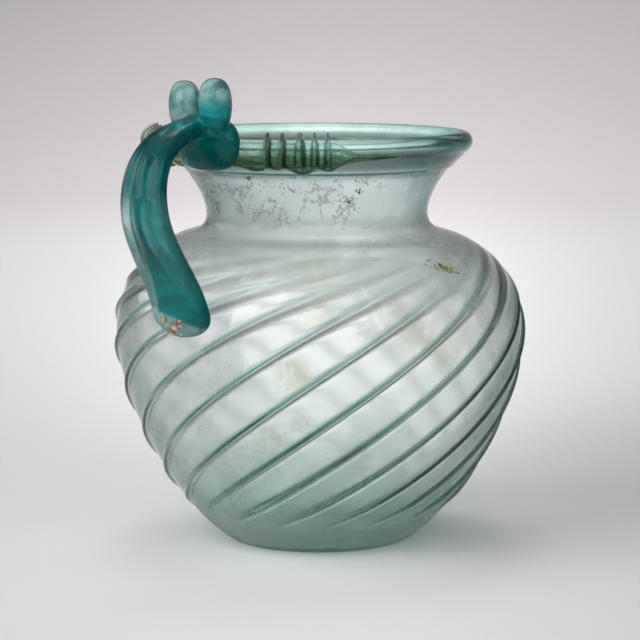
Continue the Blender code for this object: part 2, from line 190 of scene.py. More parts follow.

# Tones of the handle's places, among them painted reflections on the strap and a painted cyan highlight
handle_tones = {
    "strap": (0.001, 0.35, 0.36), "strap_high": (0.001, 0.18, 0.2),
    "thin_facet_and_painted_reflection": (0.38, 0.66, 0.64), "facet_painted_highlight": (0.97, 1.0, 0.99),
    "painted_streaky_reflection": (0.42, 0.64, 0.62), "edge": (0.14, 0.5, 0.48), "bend": (0.01, 0.25, 0.26),
    "pad": (0.01, 0.42, 0.43), "painted_cyan_highlight": (0.02, 0.6, 0.64), "toe": (0.66, 0.82, 0.78),
    "near_lobe": (0.66, 0.9, 0.89), "far_lobe": (0.8, 0.92, 0.89),
    "lobe_swirl": (0.06, 0.34, 0.35), "streak": (0.03, 0.52, 0.52),
    "swirl": (0.4, 0.68, 0.68), "slant": (0.22, 0.5, 0.5),
}

# Camera, fitted to the photograph
camera_azimuth, camera_elevation = -48.0, 7.498
camera_distance, aim_height, aim_right = 0.72, 0.06159, 0.00056
lens_mm, sensor_mm = 143.54, 36.0

# Stage: a flat floor, the bend and the wall, and how light its paper is, with light and shade
# painted on it
floor_r, bend_r, wall_top, sweep_sides = 1.15, 0.6, 1.8, 128
paper_base, paper_near_tone, paper_far_tone = 0.45, (1.0, 1.0, 1.0), (1.015, 0.97, 0.98)
# Painted pools of light (strength, right, near, wide, deep); the one of negative strength is a painted
# shadow right of the jug
painted_light_and_shadow_pools = ((0.36, 0.01, -0.45, 0.13, 0.6), (0.22, 0.00, -0.9, 0.45, 1.4),
               (0.07, -0.1, 0.14, 0.22, 0.14), (0.32, 0.00, -0.42, 0.055, 0.2),
               (-0.15, 0.12, -0.11, 0.08, 0.12), (0.11, 0.00, 0.05, 0.1, 0.14))
# Painted dimming of the paper up the wall: the share left high up, and the height it falls over
wall_high, wall_fall = 0.1, 0.8


def direction(angle):
    """Unit directions at angles in degrees."""
    turn = np.radians(angle)
    return np.stack([np.cos(turn), np.sin(turn)], -1)


def curve(start, leaving, pull, end, arriving, tug, steps):
    """A cubic from start to end that leaves and arrives at given angles.

    Its two middle control places lie along those directions, at pull and tug shares of the
    straight distance, and t runs evenly from 0 to 1.
    """
    start, end = np.array(start, float), np.array(end, float)
    span = np.linalg.norm(end - start)
    first, second = start + pull * span * direction(leaving), end - tug * span * direction(arriving)
    t = np.linspace(0, 1, steps + 1)[:, None]
    return ((1 - t) ** 3 * start + 3 * t * (1 - t) ** 2 * first
            + 3 * t * t * (1 - t) * second + t ** 3 * end)


def joined(*lines):
    """Lines end to end, each shared place once."""
    return np.vstack([lines[0]] + [line[1:] for line in lines[1:]])


def along(line):
    """Distance run along a line at each of its places."""
    return np.concatenate([[0], np.cumsum(np.linalg.norm(np.diff(line, axis=0), axis=1))])


def spread(line, steps):
    """The same line at even steps of its length."""
    run = along(line)
    at = np.linspace(0, run[-1], steps + 1)
    return np.stack([np.interp(at, run, line[:, i]) for i in range(line.shape[1])], 1)


def softened(line, times):
    """Corners cut at a quarter and three quarters of each side, again and again."""
    for _ in range(times):
        cut = np.stack([0.75 * line[:-1] + 0.25 * line[1:], 0.25 * line[:-1] + 0.75 * line[1:]], 1)
        line = np.vstack([line[:1], cut.reshape(-1, line.shape[1]), line[-1:]])
    return line


def normals(line):
    """Unit normals on the right-hand side of an (r, z) line, which is outside the glass."""
    step = np.gradient(line, axis=0)
    step /= np.linalg.norm(step, axis=1)[:, None]
    return np.stack([step[:, 1], -step[:, 0]], 1)


def smooth(x):
    """0 below 0, 1 above 1, and an S curve 3x^2 - 2x^3 between."""
    x = np.clip(x, 0, 1)
    return x * x * (3 - 2 * x)


def belly_line(steps=320):
    """Outer line from the base's edge over the widest place to the shoulder."""
    foot, wide, turn = (foot_r, foot_z), (wide_r, wide_z), (turn_r, turn_z)
    return joined(
        curve((base_r, 0), 0, foot_pull, foot, foot_angle, foot_pull, steps // 10),
        curve(foot, foot_angle, belly_pull, wide, 90, belly_pull, steps),
        curve(wide, 90, shoulder_pull, turn, turn_angle, shoulder_pull, steps),
    )


def neck_line(steps=80):
    """Outer line from the shoulder through the neck and out to the edge of the fold."""
    turn, neck, fold = (turn_r, turn_z), (neck_r, neck_z), (fold_r, fold_z)
    return joined(
        curve(turn, turn_angle, throat_pull, neck, 90, throat_tug, steps),
        curve(neck, 90, funnel_pull, fold, fold_angle, funnel_tug, steps),
    )


roll_centre = np.array([rim_r - roll_radius, rim_height - roll_radius])


def on_roll(angle, extra=0.0):
    """Place at an angle on the rim's round edge: centre + (radius + extra)(cos, sin)."""
    return roll_centre + (roll_radius + np.asarray(extra)[..., None]) * direction(angle)


def rim_line():
    """Outer line of the fold's step, the collar above it and the round edge over the mouth."""
    edge = np.array([fold_r, fold_z])
    step = edge + [fold_step, 0.0]
    join = on_roll(roll_join_angle)
    corner = softened(np.array([edge, edge + [fold_step, -0.0001], step + [0.0004, 0.0006],
                                (step + join) / 2, join]), 3)
    turn = np.linspace(roll_join_angle, roll_inner_angle, 60)
    return joined(corner, on_roll(turn))


def inner_line():
    """Inner line from the mouth down to the base: the outer one moved in by the thickness."""
    line = joined(belly_line(), neck_line())
    thick = np.interp(line[:, 1], [0, foot_z, thin_from, wide_z, turn_z, neck_z],
                      [base_thick, base_thick, low_wall, wall, wall, neck_wall])
    return (line - normals(line) * thick[:, None])[::-1]


def twist(height):
    """Degrees that a rib has turned at a height, nothing at the widest place.

    The lean from the meridian runs linearly with height plus a parabolic bow, and the turn is
    the sum of tan(lean) ds / r up the wall.
    """
    line = belly_line()
    mid = (line[1:] + line[:-1]) / 2
    steps = np.tan(np.radians(lean(mid[:, 1]))) * np.diff(along(line)) / mid[:, 0]
    turned = np.degrees(np.concatenate([[0], np.cumsum(steps)]))
    at = np.clip(height, rib_low, rib_high)
    return np.interp(at, line[:, 1], turned) - np.interp(wide_z, line[:, 1], turned)


def lean(height):
    """Lean of the ribs from the meridian, in degrees."""
    share = (height - rib_low) / (rib_high - rib_low)
    return lean_low + (lean_high - lean_low) * share + lean_bow * 4 * share * (1 - share)


def rib_fade(height):
    """Strength of the ribs: rises above the base and dies away on the shoulder."""
    return (smooth((height - rib_low) / rib_fade_low)
            * smooth((rib_high - height) / rib_fade_high))


def column_angles(height, stations):
    """Polar angle of every column at a height: rib spacing, twist and the ribs' drift."""
    share = (np.arange(rib_count)[:, None] + stations).ravel()
    even = rib_angle + 360 / rib_count * share + twist(height)[:, None]
    return even + rib_drift * np.cos(np.radians(even - drift_facing))


def around(radius, angle, height):
    """Places at radii, angles in radians and heights about the upright axis."""
    radius, angle, height = np.broadcast_arrays(radius, angle, height)
    return np.stack([radius * np.cos(angle), radius * np.sin(angle), height], -1)


def swayed(points):
    """Moves places sideways by height, as the neck stands a little off the body's middle."""
    shift = sway * (smooth((points[..., 2] - sway_low) / (sway_high - sway_low)) - 0.5)
    return points + shift[..., None] * np.array([*direction(sway_facing), 0.0])


def grid_faces(rows, columns, start=0):
    """Quads of rows of closed rings."""
    i = np.arange(rows - 1)[:, None] * columns + start
    j = np.arange(columns)
    k = (j + 1) % columns
    return np.stack([i + j, i + k, i + columns + k, i + columns + j], -1).reshape(-1, 4)


def fan_faces(pole, ring, inwards):
    """Triangles from a pole to a closed ring of numbers."""
    after = np.roll(ring, -1)
    pair = (after, ring) if inwards else (ring, after)
    return np.stack([np.full(len(ring), pole), *pair], -1)


def tube(points, ends):
    """Points and faces of rows of closed rings with a pole at each end."""
    rows, sides = points.shape[:2]
    total, ring = rows * sides, np.arange(sides)
    fans = np.vstack([fan_faces(total, ring, True), fan_faces(total + 1, total - sides + ring, False)])
    return np.vstack([points.reshape(-1, 3), ends]), grid_faces(rows, sides), fans


def placed(name, data):
    """A new object of the data, in the scene."""
    thing = bpy.data.objects.new(name, data)
    bpy.context.collection.objects.link(thing)
    return thing


def surface(name, points, faces, material):
    """A smooth-shaded object of points and faces."""
    mesh = bpy.data.meshes.new(name)
    mesh.from_pydata(points.tolist(), [], faces)
    mesh.validate()
    mesh.shade_smooth()
    mesh.materials.append(material)
    return placed(name, mesh)


def piece(name, points, quads, triangles, material, node_name):
    """A swayed surface with a finish, which rides on the jug and hides a CAD node."""
    thing = surface(name, swayed(points), quads.tolist() + triangles.tolist(), material)
    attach(thing, "root")
    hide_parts(node_name)
    return thing


def hump(radius):
    """Low rise in the middle of the base: height x (1 - (r / reach)^2)^2."""
    return kick_height * np.clip(1 - (radius / kick_r) ** 2, 0, 1) ** 2


def vessel(material):
    """The blown vessel, outside and inside in one closed skin.

    Rows follow the outer line, then the inner one. Columns follow the ribs: they stand closer
    at each crest by s - a sin(2 pi s) / (2 pi). A rib's relief is height x exp(-(d / w)^2), d
    being the distance square to the rib. Attributes tell the inside from the outside, the upper
    flank of each rib, and each place turned back by the ribs' twist, so that streaks follow them.
    """
    s = np.arange(rib_columns) / rib_columns
    stations = s - rib_crowding * np.sin(2 * math.pi * s) / (2 * math.pi)
    under_r = np.linspace(pole_r, base_r, under_rows)[:-1, None]
    under_z = hump(under_r) - scar_depth * np.exp(-((under_r - scar_r) / scar_width) ** 2)
    outer = joined(spread(belly_line(), belly_rows), spread(neck_line(), neck_rows),
                   spread(rim_line(), rim_rows))
    outward, height = normals(outer), outer[:, 1:]
    angle = np.radians(column_angles(outer[:, 1], stations))
    between = np.tile(stations, rib_count)
    off = np.where(between > 0.5, between - 1, between) * 2 * math.pi * outer[:, :1] / rib_count
    away = off * np.cos(np.radians(lean(np.clip(height, rib_low, rib_high)))) / rib_width(height)
    ribbed, fade = height < turn_z, rib_fade(height)
    ridge = rib_height * fade * ribbed * np.exp(-away ** 2)
    flank = fade ** flank_fade * ribbed * np.exp(-(away / flank_width + flank_shift) ** 2)
    shell = around(outer[:, :1] + outward[:, :1] * ridge, angle, height + outward[:, 1:] * ridge)
    outside = np.vstack([around(under_r, angle[:1], under_z), shell])
    inner, inner_angle = spread(inner_line(), inner_rows)[1:], angle[-1, ::2]
    floor_r = np.linspace(inner[-1, 0], pole_r, floor_rows)[1:, None]
    inside = np.vstack([around(inner[:, :1], inner_angle, inner[:, 1:]),
                        around(floor_r, inner_angle, inner[-1, 1] + hump(floor_r))])
    rows, wide = outside.shape[:2]
    deep, narrow = inside.shape[:2]
    points = np.vstack([outside.reshape(-1, 3), inside.reshape(-1, 3),
                        [[0, 0, kick_height], [0, 0, base_thick + kick_height]]])
    first_in, pole = rows * wide, rows * wide + deep * narrow
    last = first_in - wide + np.arange(wide)
    even, odd, after = last[0::2], last[1::2], np.roll(last[0::2], -1)
    ring = first_in + np.arange(narrow)
    follow = np.roll(ring, -1)
    join = np.array([[even, odd, ring], [odd, follow, ring], [odd, after, follow]])
    triangles = np.vstack([join.swapaxes(1, 2).reshape(-1, 3), fan_faces(pole, np.arange(wide), True),
                           fan_faces(pole + 1, pole - narrow + np.arange(narrow), False)])
    quads = np.vstack([grid_faces(rows, wide), grid_faces(deep, narrow, first_in)])
    thing = piece("blown_vessel", points, quads, triangles, material, "jug_body")
    within, crest = np.zeros(len(points)), np.zeros(len(points))
    within[first_in:pole], within[pole + 1] = 1, 1
    # Upper flank of each rib: where the ribs' tint, partly painted shade, is strongest
    crest[first_in - flank.size:first_in] = flank.ravel()
    x, y, z = points.T
    flow = around(np.hypot(x, y), np.arctan2(y, x) - np.radians(twist(z)), z)
    layers = thing.data.attributes
    layers.new("within", "FLOAT", "POINT").data.foreach_set("value", within)
    layers.new("crest", "FLOAT", "POINT").data.foreach_set("value", crest)
    layers.new("flow", "FLOAT_VECTOR", "POINT").data.foreach_set("vector", flow.ravel())


def round_end(distance, length):
    """Share of the full width near a rounded end: sqrt(1 - (1 - distance / length)^2)."""
    left = 1 - np.minimum(distance / length, 1)
    return np.sqrt(np.clip(1 - left ** 2, 0.0006, 1))


def strap_path(steps=150):
    """Middle line of the strap, with its sideways lean, width and thickness at each place."""
    over = rim_height + strap_thick / 2 - roll_radius / 3 + handle_over
    wall_r, wall_z = belly_line().T
    foot = np.interp(handle_low_z, wall_z, wall_r) - embed + strap_thick / 2
    start, bend, end = (roll_centre[0], over), (handle_reach, reach_z), (foot, handle_low_z)
    line = spread(joined(curve(start, start_angle, bend_pull, bend, -90, bend_tug, steps),
                         curve(bend, -90, fall_pull, end, end_angle, fall_tug, steps)), steps)
    run = along(line)
    ease = smooth(run / run[-1])
    lean_here = handle_lean_top + (handle_lean_low - handle_lean_top) * ease
    width = strap_width + (strap_foot_width - strap_width) * ease
    tip = round_end(run[-1] - run, tip_length) * round_end(run, strap_thick)
    return line, lean_here, width * tip, strap_thick * np.sqrt(tip)


def strap_face(across, height):
    """Extra height of the strap's outer face: a low ridge that drifts sideways, and less behind it."""
    ridge = ridge_top + (ridge_low - ridge_top) * smooth((reach_z - height) / (reach_z - handle_low_z))
    return 0.0004 * np.exp(-((across - ridge) / 0.07) ** 2) - 0.0009 * smooth((ridge - across) / 0.35)


def strap():
    """Points and faces of the strap: a rounded oblong carried along its path.

    The section is |cos|^c, |sin|^c of an even turn, and its outer face has the strap's ridge.
    """
    line, lean_here, width, thick = strap_path()
    outward = -normals(line)
    turn = np.arange(strap_sides) * 2 * math.pi / strap_sides
    across, deep = (np.sign(v) * np.abs(v) ** strap_corner for v in (np.cos(turn), np.sin(turn)))
    face = np.clip(deep, 0, 1) * strap_face(across, line[:, 1:])
    off = deep * thick[:, None] / 2 + face * thick[:, None] / strap_thick
    r, z = (line[:, i, None] + outward[:, i, None] * off for i in (0, 1))
    y = -(lean_here[:, None] + across * width[:, None] / 2)
    ends = [[-line[i, 0], -lean_here[i], line[i, 1]] for i in (0, -1)]
    return tube(np.stack([-r, y, z], -1), ends)


def lump(centre, half, fullness, waist=0.0, rows=40, sides=48):
    """Points and faces of an egg-like lump: its radius goes as cos(tilt) ^ fullness.

    It also loses its waist's share of that from the top to the foot.
    """
    tilt = np.linspace(-math.pi / 2, math.pi / 2, rows + 2)[1:-1, None]
    turn = np.arange(sides) * 2 * math.pi / sides
    ring = np.cos(tilt) ** fullness * (1 - waist * (1 - np.sin(tilt)) / 2)
    points = np.stack([-(centre[0] + half[0] * ring * np.cos(turn)),
                       -(centre[1] + half[1] * ring * np.sin(turn)),
                       np.broadcast_to(centre[2] + half[2] * np.sin(tilt), (rows, sides))], -1)
    poles = [[-centre[0], -centre[1], centre[2] + sign * half[2]] for sign in (-1, 1)]
    return tube(points, poles)


def handle(material):
    """The strap, the pad on the rim and the thumb rest's lobes, melted into one skin."""
    strap_top = rim_height + handle_over + strap_thick - roll_radius / 3
    lobe_r = rim_r + lobe_stand_off
    parts = [strap(), lump((rim_r, pad_lean, (fold_z + strap_top) / 2),
                           (pad_depth, pad_half_width, pad_half_height), pad_fullness)]
    for side, width, thick, lower in ((1, near_lobe_width, near_lobe_thick, 0),
                                      (-1, far_lobe_width, far_lobe_thick, far_lobe_lower)):
        top, low = rim_height + lobe_rise - lower, strap_top - strap_thick
        centre = (lobe_r, pad_lean + side * lobe_apart / 2, (top + low) / 2)
        parts.append(lump(centre, (thick / 2, width / 2, (top - low) / 2), lobe_fullness, lobe_waist))
    places, quads, fans = zip(*parts)
    starts = np.cumsum([0] + [len(place) for place in places[:-1]])
    quads, fans = (np.vstack([face + start for face, start in zip(faces, starts)])
                   for faces in (quads, fans))
    thing = piece("strap_with_thumb_rest", np.vstack(places), quads, fans, material,
                  "strap_handle")
    melt = thing.modifiers.new("Melt", "REMESH")
    melt.mode = "VOXEL"
    melt.voxel_size = melt_size
    melt.use_smooth_shade = True
    ease = thing.modifiers.new("Ease", "SMOOTH")
    ease.factor, ease.iterations = 0.5, 20


def trail(name, side, fins, fin_reach, material, node_name):
    """A trail laid on the rim's outside and pinched into fins.

    At each angle its section runs up the rim's round edge just inside the glass and comes back
    at the trail's thickness, thinner in its upper half, with a blob near its lower edge where it
    hangs lowest. The hanging follows the greatest of a few bumps of the angle, and a fin is a
    bump exp(-(apart / half)^4) of it, narrower towards its top, pushed out and up.
    """
    angle = np.linspace(trail_start_angle - trail_tip, trail_tail_end, trail_steps)[:, None]
    fin_at, fin_width = np.array(fins).T
    apart = (angle - fin_at) / (np.degrees(fin_width / rim_r) / 2)
    run = np.clip((angle - trail_band_end) / (trail_tail_end - trail_band_end), 0, 1)
    at, wide, strength = np.array(trail_hangs).T
    hang = (strength * np.exp(-((angle - at) / wide) ** 2)).max(axis=1, keepdims=True)
    drop = trail_drop + trail_scallop * (2 * hang - 1)
    drop *= np.maximum(1 - drop_taper * run, least_drop)
    narrow = smooth(run * tail_narrowing)
    low_angle = trail_low_angle * (1 - narrow) + tail_low_angle * narrow
    top_angle = trail_top_angle * (1 - narrow) + tail_top_angle * narrow
    low = on_roll(low_angle[:, 0])
    slope = np.array([fold_r + fold_step, fold_z]) - low
    slope /= np.linalg.norm(slope, axis=1)[:, None]
    away = np.stack([-slope[:, 1], slope[:, 0]], 1)[:, None]
    up_turn = low_angle + (top_angle - low_angle) * np.linspace(0, 1, trail_up_steps)
    share = np.linspace(1, 0, trail_skirt_steps)[:-1]
    skirt = low[:, None] + slope[:, None] * (drop * share)[..., None]
    back = np.concatenate([skirt - away * embed, on_roll(up_turn, np.full(up_turn.shape, -embed))], 1)
    thick = (trail_thick * (1 - run) + tail_thick * run) * round_end(trail_tail_end - angle, trail_tip)
    place = np.linspace(0, 1, back.shape[1])
    swell = np.sqrt(np.clip(1 - (2 * place - 1) ** 6, 0.0, 1))
    swell *= 1 - band_thin * smooth((place - 0.35) / 0.35)
    push = smooth((place - 0.15) / 0.45) * (1 - 0.6 * smooth((place - 0.75) / 0.25))
    blob = hang_blob * hang * np.exp(-((place - 0.14) / 0.12) ** 2)
    narrowing = (fin_low_share + fin_narrowing * place)[:, None]
    pinch = np.exp(-np.abs(apart[:, None] * narrowing) ** 4).max(axis=2)
    lift = (thick + blob * (1 - run)) * swell + fin_reach * pinch * push
    out = np.concatenate([np.repeat(away, len(share), axis=1), direction(up_turn)], 1)
    front = back + out * (lift + embed)[..., None]
    front[..., 1] += fin_rise * pinch * smooth((place - 0.6) / 0.4)
    section = np.concatenate([back, front[:, ::-1]], 1)
    points = around(section[..., 0], np.radians(180 + side * angle), section[..., 1])
    points, quads, fans = tube(points, [points[0].mean(axis=0), points[-1].mean(axis=0)])
    if side < 0:
        quads, fans = quads[:, ::-1], fans[:, ::-1]
    piece(name, points, quads, fans, material, node_name)


def rib_width(height):
    """Half width of a rib, broader towards the shoulder."""
    return rib_half_width * (1 + rib_broader * smooth((height - wide_z) / (turn_z - wide_z)))


def wall_place(angle, height):
    """Places on the vessel's outside at angles and heights, and the directions square to it there.

    The ribs' relief counts: an angle, less the ribs' drift and twist, tells how far the rib is.
    """
    line = joined(belly_line(), neck_line())
    out = normals(line)
    turn, height = np.radians(angle), np.asarray(height, float)
    r, flat, rise = (np.interp(height, line[:, 1], v) for v in (line[:, 0], out[:, 0], out[:, 1]))
    even = angle
    for _ in range(5):
        even = angle - rib_drift * np.cos(np.radians(even - drift_facing))
    apart = (even - rib_angle - twist(height)) * rib_count / 360
    off = (apart - np.round(apart)) * 2 * math.pi * r / rib_count * np.cos(np.radians(lean(height)))
    ridge = rib_height * rib_fade(height) * np.exp(-(off / rib_width(height)) ** 2)
    way = around(flat, turn, rise)
    return around(r, turn, height) + way * ridge[..., None], way


def flakes(name, places, outward, size, material, node_name):
    """Low crumbs of crust: each a closed dome on the glass, with an uneven outline.

    A crumb's outline is size x (1 + sum of three sines of the turn), its height goes as
    (1 - share^2)^0.6, and it reaches a little into the glass.
    """
    number = np.arange(len(places))[:, None, None]
    share = np.linspace(1, 0.15, crumb_rings)[:, None]
    turn = np.arange(crumb_sides) * 2 * math.pi / crumb_sides
    size = size[:, None, None]
    outline = (1 + 0.26 * np.sin(2 * turn + 1.7 * number) + 0.18 * np.sin(3 * turn + 2.9 * number)
               + 0.1 * np.sin(5 * turn + 4.1 * number))
    reach = size * share * outline
    rise = 0.3 * (1 - share ** 2) ** 0.6 + 0.05 * np.sin(4 * turn + number + 5 * share)
    rise = size * rise - crumb_sink * share
    side_way = np.cross(np.array([0.0, 0.0, 1.0]), outward)
    side_way /= np.linalg.norm(side_way, axis=1)[:, None]
    up_way = np.cross(outward, side_way)
    points = sum(way[:, None, None] * far[..., None] for way, far in
                 ((side_way, reach * np.cos(turn)), (up_way, reach * np.sin(turn)), (outward, rise)))
    points = places[:, None, None] + points
    tops = places + outward * (size[:, 0] * 0.32)
    bottoms = places - outward * (2 * crumb_sink)
    each = crumb_rings * crumb_sides + 2
    skins = np.concatenate([points.reshape(-1, each - 2, 3), bottoms[:, None], tops[:, None]], 1)
    quads, fans = ((faces + number * each).reshape(-1, faces.shape[1])
                   for faces in tube(points[0], [bottoms[0], tops[0]])[1:])
    piece(name, skins.reshape(-1, 3), quads, fans, material, node_name)


def crumbs_on_wall():
    """Places, directions and sizes of the crumbs on the shoulder and the neck, clump by clump.

    A clump's crumbs are strewn by a seeded draw over an oval stretched along a slope, most of
    them and the greatest near its middle: distance is the draw to the power 0.7.
    """
    places, outward, sizes = [], [], []
    draw = np.random.default_rng(18)
    for angle, height, long, short, slope, count, size in crust_clumps:
        turn, far = draw.uniform(0, 2 * math.pi, count), draw.uniform(0, 1, count) ** 0.7
        along_slope, across = long * far * np.cos(turn), short * far * np.sin(turn)
        tilt = math.radians(slope)
        side = along_slope * math.cos(tilt) - across * math.sin(tilt)
        up = along_slope * math.sin(tilt) + across * math.cos(tilt)
        middle, out = wall_place(angle, height)
        r, upright = math.hypot(*middle[:2]), math.hypot(*out[:2])
        place, out = wall_place(angle + np.degrees(side / r), height + up * upright)
        places.append(place)
        outward.append(out)
        sizes.append(size * draw.uniform(0.45, 1.15, count) * (1.25 - 0.6 * far))
    return np.vstack(places), np.vstack(outward), np.concatenate(sizes)


def crumbs_on_strap():
    """Places, directions and sizes of the crumbs on the end of the strap's outer face."""
    line, lean_here, width, thick = strap_path()
    out = -normals(line)
    number = np.arange(end_crumbs)
    back = 2 + (number * 0.618 % 1) * 9
    at = (len(line) - 1 - back).astype(int)
    across = (number * 0.377 % 1) * -0.62 + 0.22
    off = thick[at] / 2 + strap_face(across, line[at, 1])
    places = np.stack([-(line[at, 0] + out[at, 0] * off), -(lean_here[at] + across * width[at] / 2),
                       line[at, 1] + out[at, 1] * off], -1)
    directions = np.stack([-out[at, 0], np.zeros(len(at)), out[at, 1]], -1)
    return places, directions, end_crumb_size * (0.45 + 0.55 * np.sin(1.9 * number + 0.6) ** 2)


class Value:
    """A node's output in its tree. Sums and products of values make the nodes that work them out."""

    def __init__(self, tree, socket):
        self.tree, self.socket = tree, socket

    def __add__(self, other):
        return maths("ADD", self, other)

    def __sub__(self, other):
        return maths("SUBTRACT", self, other)

    def __rsub__(self, other):
        return maths("SUBTRACT", other, self)

    def __mul__(self, other):
        return maths("MULTIPLY", self, other)

    def __truediv__(self, other):
        return maths("DIVIDE", self, other)


def fill(made, sockets):
    """Puts numbers, colours and other nodes' outputs into a node's sockets."""
    for key, value in sockets.items():
        if isinstance(value, Value):
            value.tree.links.new(value.socket, made.inputs[key])
        else:
            is_tone = made.inputs[key].type == "RGBA"
            made.inputs[key].default_value = (*value, 1) if is_tone else value


def node(kind, sockets, output=0, tree=None, **settings):
    """A node's output, in the tree given or that of the values which go into it."""
    tree = tree or next(value.tree for value in sockets.values() if isinstance(value, Value))
    made = tree.nodes.new("ShaderNode" + kind)
    for key, value in settings.items():
        setattr(made, key, value)
    fill(made, sockets)
    return Value(tree, made.outputs[output])


def maths(operation, one, two=0.0):
    """One sum of two values."""
    return node("Math", {0: one, 1: two}, operation=operation)


def blend(share, one, other):
    """Mix of two colours: none of the other at 0, all of it at 1."""
    return node("Mix", {0: share, 6: one, 7: other}, 2, data_type="RGBA")


def wash(share, colour, tone):
    """A colour times a tone, by the tone's share."""
    return node("Mix", {0: share, 6: colour, 7: tone}, 2, data_type="RGBA", blend_type="MULTIPLY")


def band(value, start, end):
    """Smooth step of a value from 0 at the start to 1 at the end."""
    return node("MapRange", {"Value": value, "From Min": start, "From Max": end},
                interpolation_type="SMOOTHSTEP")


def level(value, rise, full, fall, end):
    """Share of a value that rises from 0 at rise to 1 at full, and falls from fall to 0 at end.

    A pair given as None leaves that side open.
    """
    if fall is None:
        return band(value, rise, full)
    falling = band(value, end, fall)
    return falling if rise is None else band(value, rise, full) * falling


def stretched(vector, factors):
    """A vector times three factors."""
    return node("VectorMath", {0: vector, 1: factors}, operation="MULTIPLY")


def measured(operation, vector, other):
    """The distance or the dot product of two vectors."""
    return node("VectorMath", {0: vector, 1: other}, "Value", operation=operation)


def noise(vector, scale, detail=3.0, roughness=0.5, distortion=0.0):
    """Cloudy noise from 0 to 1, scale in cycles a metre."""
    return node("TexNoise", {"Vector": vector, "Scale": scale, "Detail": detail,
                             "Roughness": roughness, "Distortion": distortion})


def cells(vector, scale):
    """Distance from the middles of small cells, scale in cells a metre."""
    return node("TexVoronoi", {"Vector": vector, "Scale": scale}, "Distance")


def parts_of(place):
    """The three coordinates of a place."""
    return [node("SeparateXYZ", {0: place}, axis) for axis in range(3)]


def group(name, inputs, outputs):
    """A new node group, with the values of its entry and a function that joins its exit."""
    tree = bpy.data.node_groups.new(name, "ShaderNodeTree")
    for way, sockets in (("INPUT", inputs), ("OUTPUT", outputs)):
        for key, kind in sockets.items():
            tree.interface.new_socket(key, in_out=way, socket_type="NodeSocket" + kind)
    entry, leave = tree.nodes.new("NodeGroupInput"), tree.nodes.new("NodeGroupOutput")

    def finish(**results):
        fill(leave, results)
        return tree

    return {key: Value(tree, entry.outputs[key]) for key in inputs}, finish


def use(group_tree, sockets):
    """The values that a group puts out, with its sockets filled."""
    tree = sockets["Place"].tree
    made = tree.nodes.new("ShaderNodeGroup")
    made.node_tree = group_tree
    fill(made, sockets)
    return {socket.name: Value(tree, socket) for socket in made.outputs}


def old_skin():
    """Wear that all the glass shares.

    Tint: clear, milky grey in slow clouds, with beige specks in their thickest parts and a few
    dark seeds. Film: the clouds, which the clear share thins. Height: slow waves along the flow.
    """
    entry, finish = group("old_skin", {"Place": "Vector", "Flow": "Vector", "Clear": "Color",
                                       "More": "Float", "Milk": "Color"},
                          {"Tint": "Color", "Film": "Float", "Height": "Float"})
    place = entry["Place"]
    slow = noise(place, 46, 4, 0.62, 0.6)
    cloud = band(slow + entry["More"], 0.44, 0.62)
    tint = blend(cloud, entry["Clear"], entry["Milk"])
    speck = band(slow, 0.58, 0.68) * band(noise(place, 420, 2, 0.6), 0.42, 0.62)
    tint = blend(speck * 0.5, tint, speck_tone)
    seed = band(cells(place, 210), 0.1, 0.05) * band(slow, 0.46, 0.52)
    tint = blend(seed * 0.55, tint, seed_tone)
    waves = noise(stretched(entry["Flow"], (1, 1, 0.45)), 62, 1)
    return finish(Tint=tint, Film=cloud, Height=waves * wave_height)


def patches(name, places, scale, low, high):
    """Share of a wear round stated places, broken up by noise of a scale between low and high."""
    entry, finish = group(name, {"Place": "Vector"}, {"Share": "Float"})
    place, total = entry["Place"], 0.0
    ragged = noise(place, scale, 2, 0.65)
    for x, y, z, reach, strength in places:
        away = measured("DISTANCE", place, (x, y, z))
        total = maths("MAXIMUM", band(away, reach, reach * 0.25) * strength, total)
    return finish(Share=total * band(ragged, low, high))


def neck_wear():
    """Brown lace and pits on the neck, in patches, and the faint rings of its turning.

    The lace runs where a fine noise crosses its middle; the pits are the middles of small cells.
    """
    entry, finish = group("neck_wear", {"Place": "Vector"}, {"Share": "Float", "Rings": "Float"})
    place = entry["Place"]
    up = parts_of(place)[2]
    lace = band(maths("ABSOLUTE", noise(place, 95, 4, 0.7) - 0.5), 0.024, 0.005)
    pits = band(cells(place, 620), 0.3, 0.14)
    patch = noise(place, 85, 2)
    mixed = maths("MAXIMUM", lace * band(patch, 0.42, 0.52) * lace_strength,
                  pits * band(patch, 0.54, 0.62) * pit_strength)
    window = level(up, *lace_heights) * band(measured("DOT_PRODUCT", place, lace_facing), 0.01, 0.02)
    rings = maths("SINE", up * (2 * math.pi / ring_spacing)) * level(up, *ring_heights)
    return finish(Share=mixed * window, Rings=rings * ring_height)


def finish_of(name):
    """A new material, its shader and the place on the piece in its tree."""
    material = bpy.data.materials.new(name)
    material.use_nodes = True
    tree = material.node_tree
    return material, tree.nodes["Principled BSDF"], node("TexCoord", {}, "Object", tree)


def glass(name, depth_colour, density, index, transmission=1.0):
    """A clear glass whose colour deepens with thickness."""
    material, shader, place = finish_of(name)
    fill(shader, {"IOR": index, "Metallic": 0, "Transmission Weight": transmission})
    depth = node("VolumeAbsorption", {"Color": depth_colour, "Density": density}, tree=place.tree)
    fill(place.tree.nodes["Material Output"], {"Volume": depth})
    return material, shader, place


def dress(shader, colour, roughness, height):
    """Colour, roughness and bumps (in metres) on a shader."""
    bumps = node("Bump", {"Strength": 1.0, "Distance": 1.0, "Height": height})
    fill(shader, {"Base Color": colour, "Roughness": roughness, "Normal": bumps})


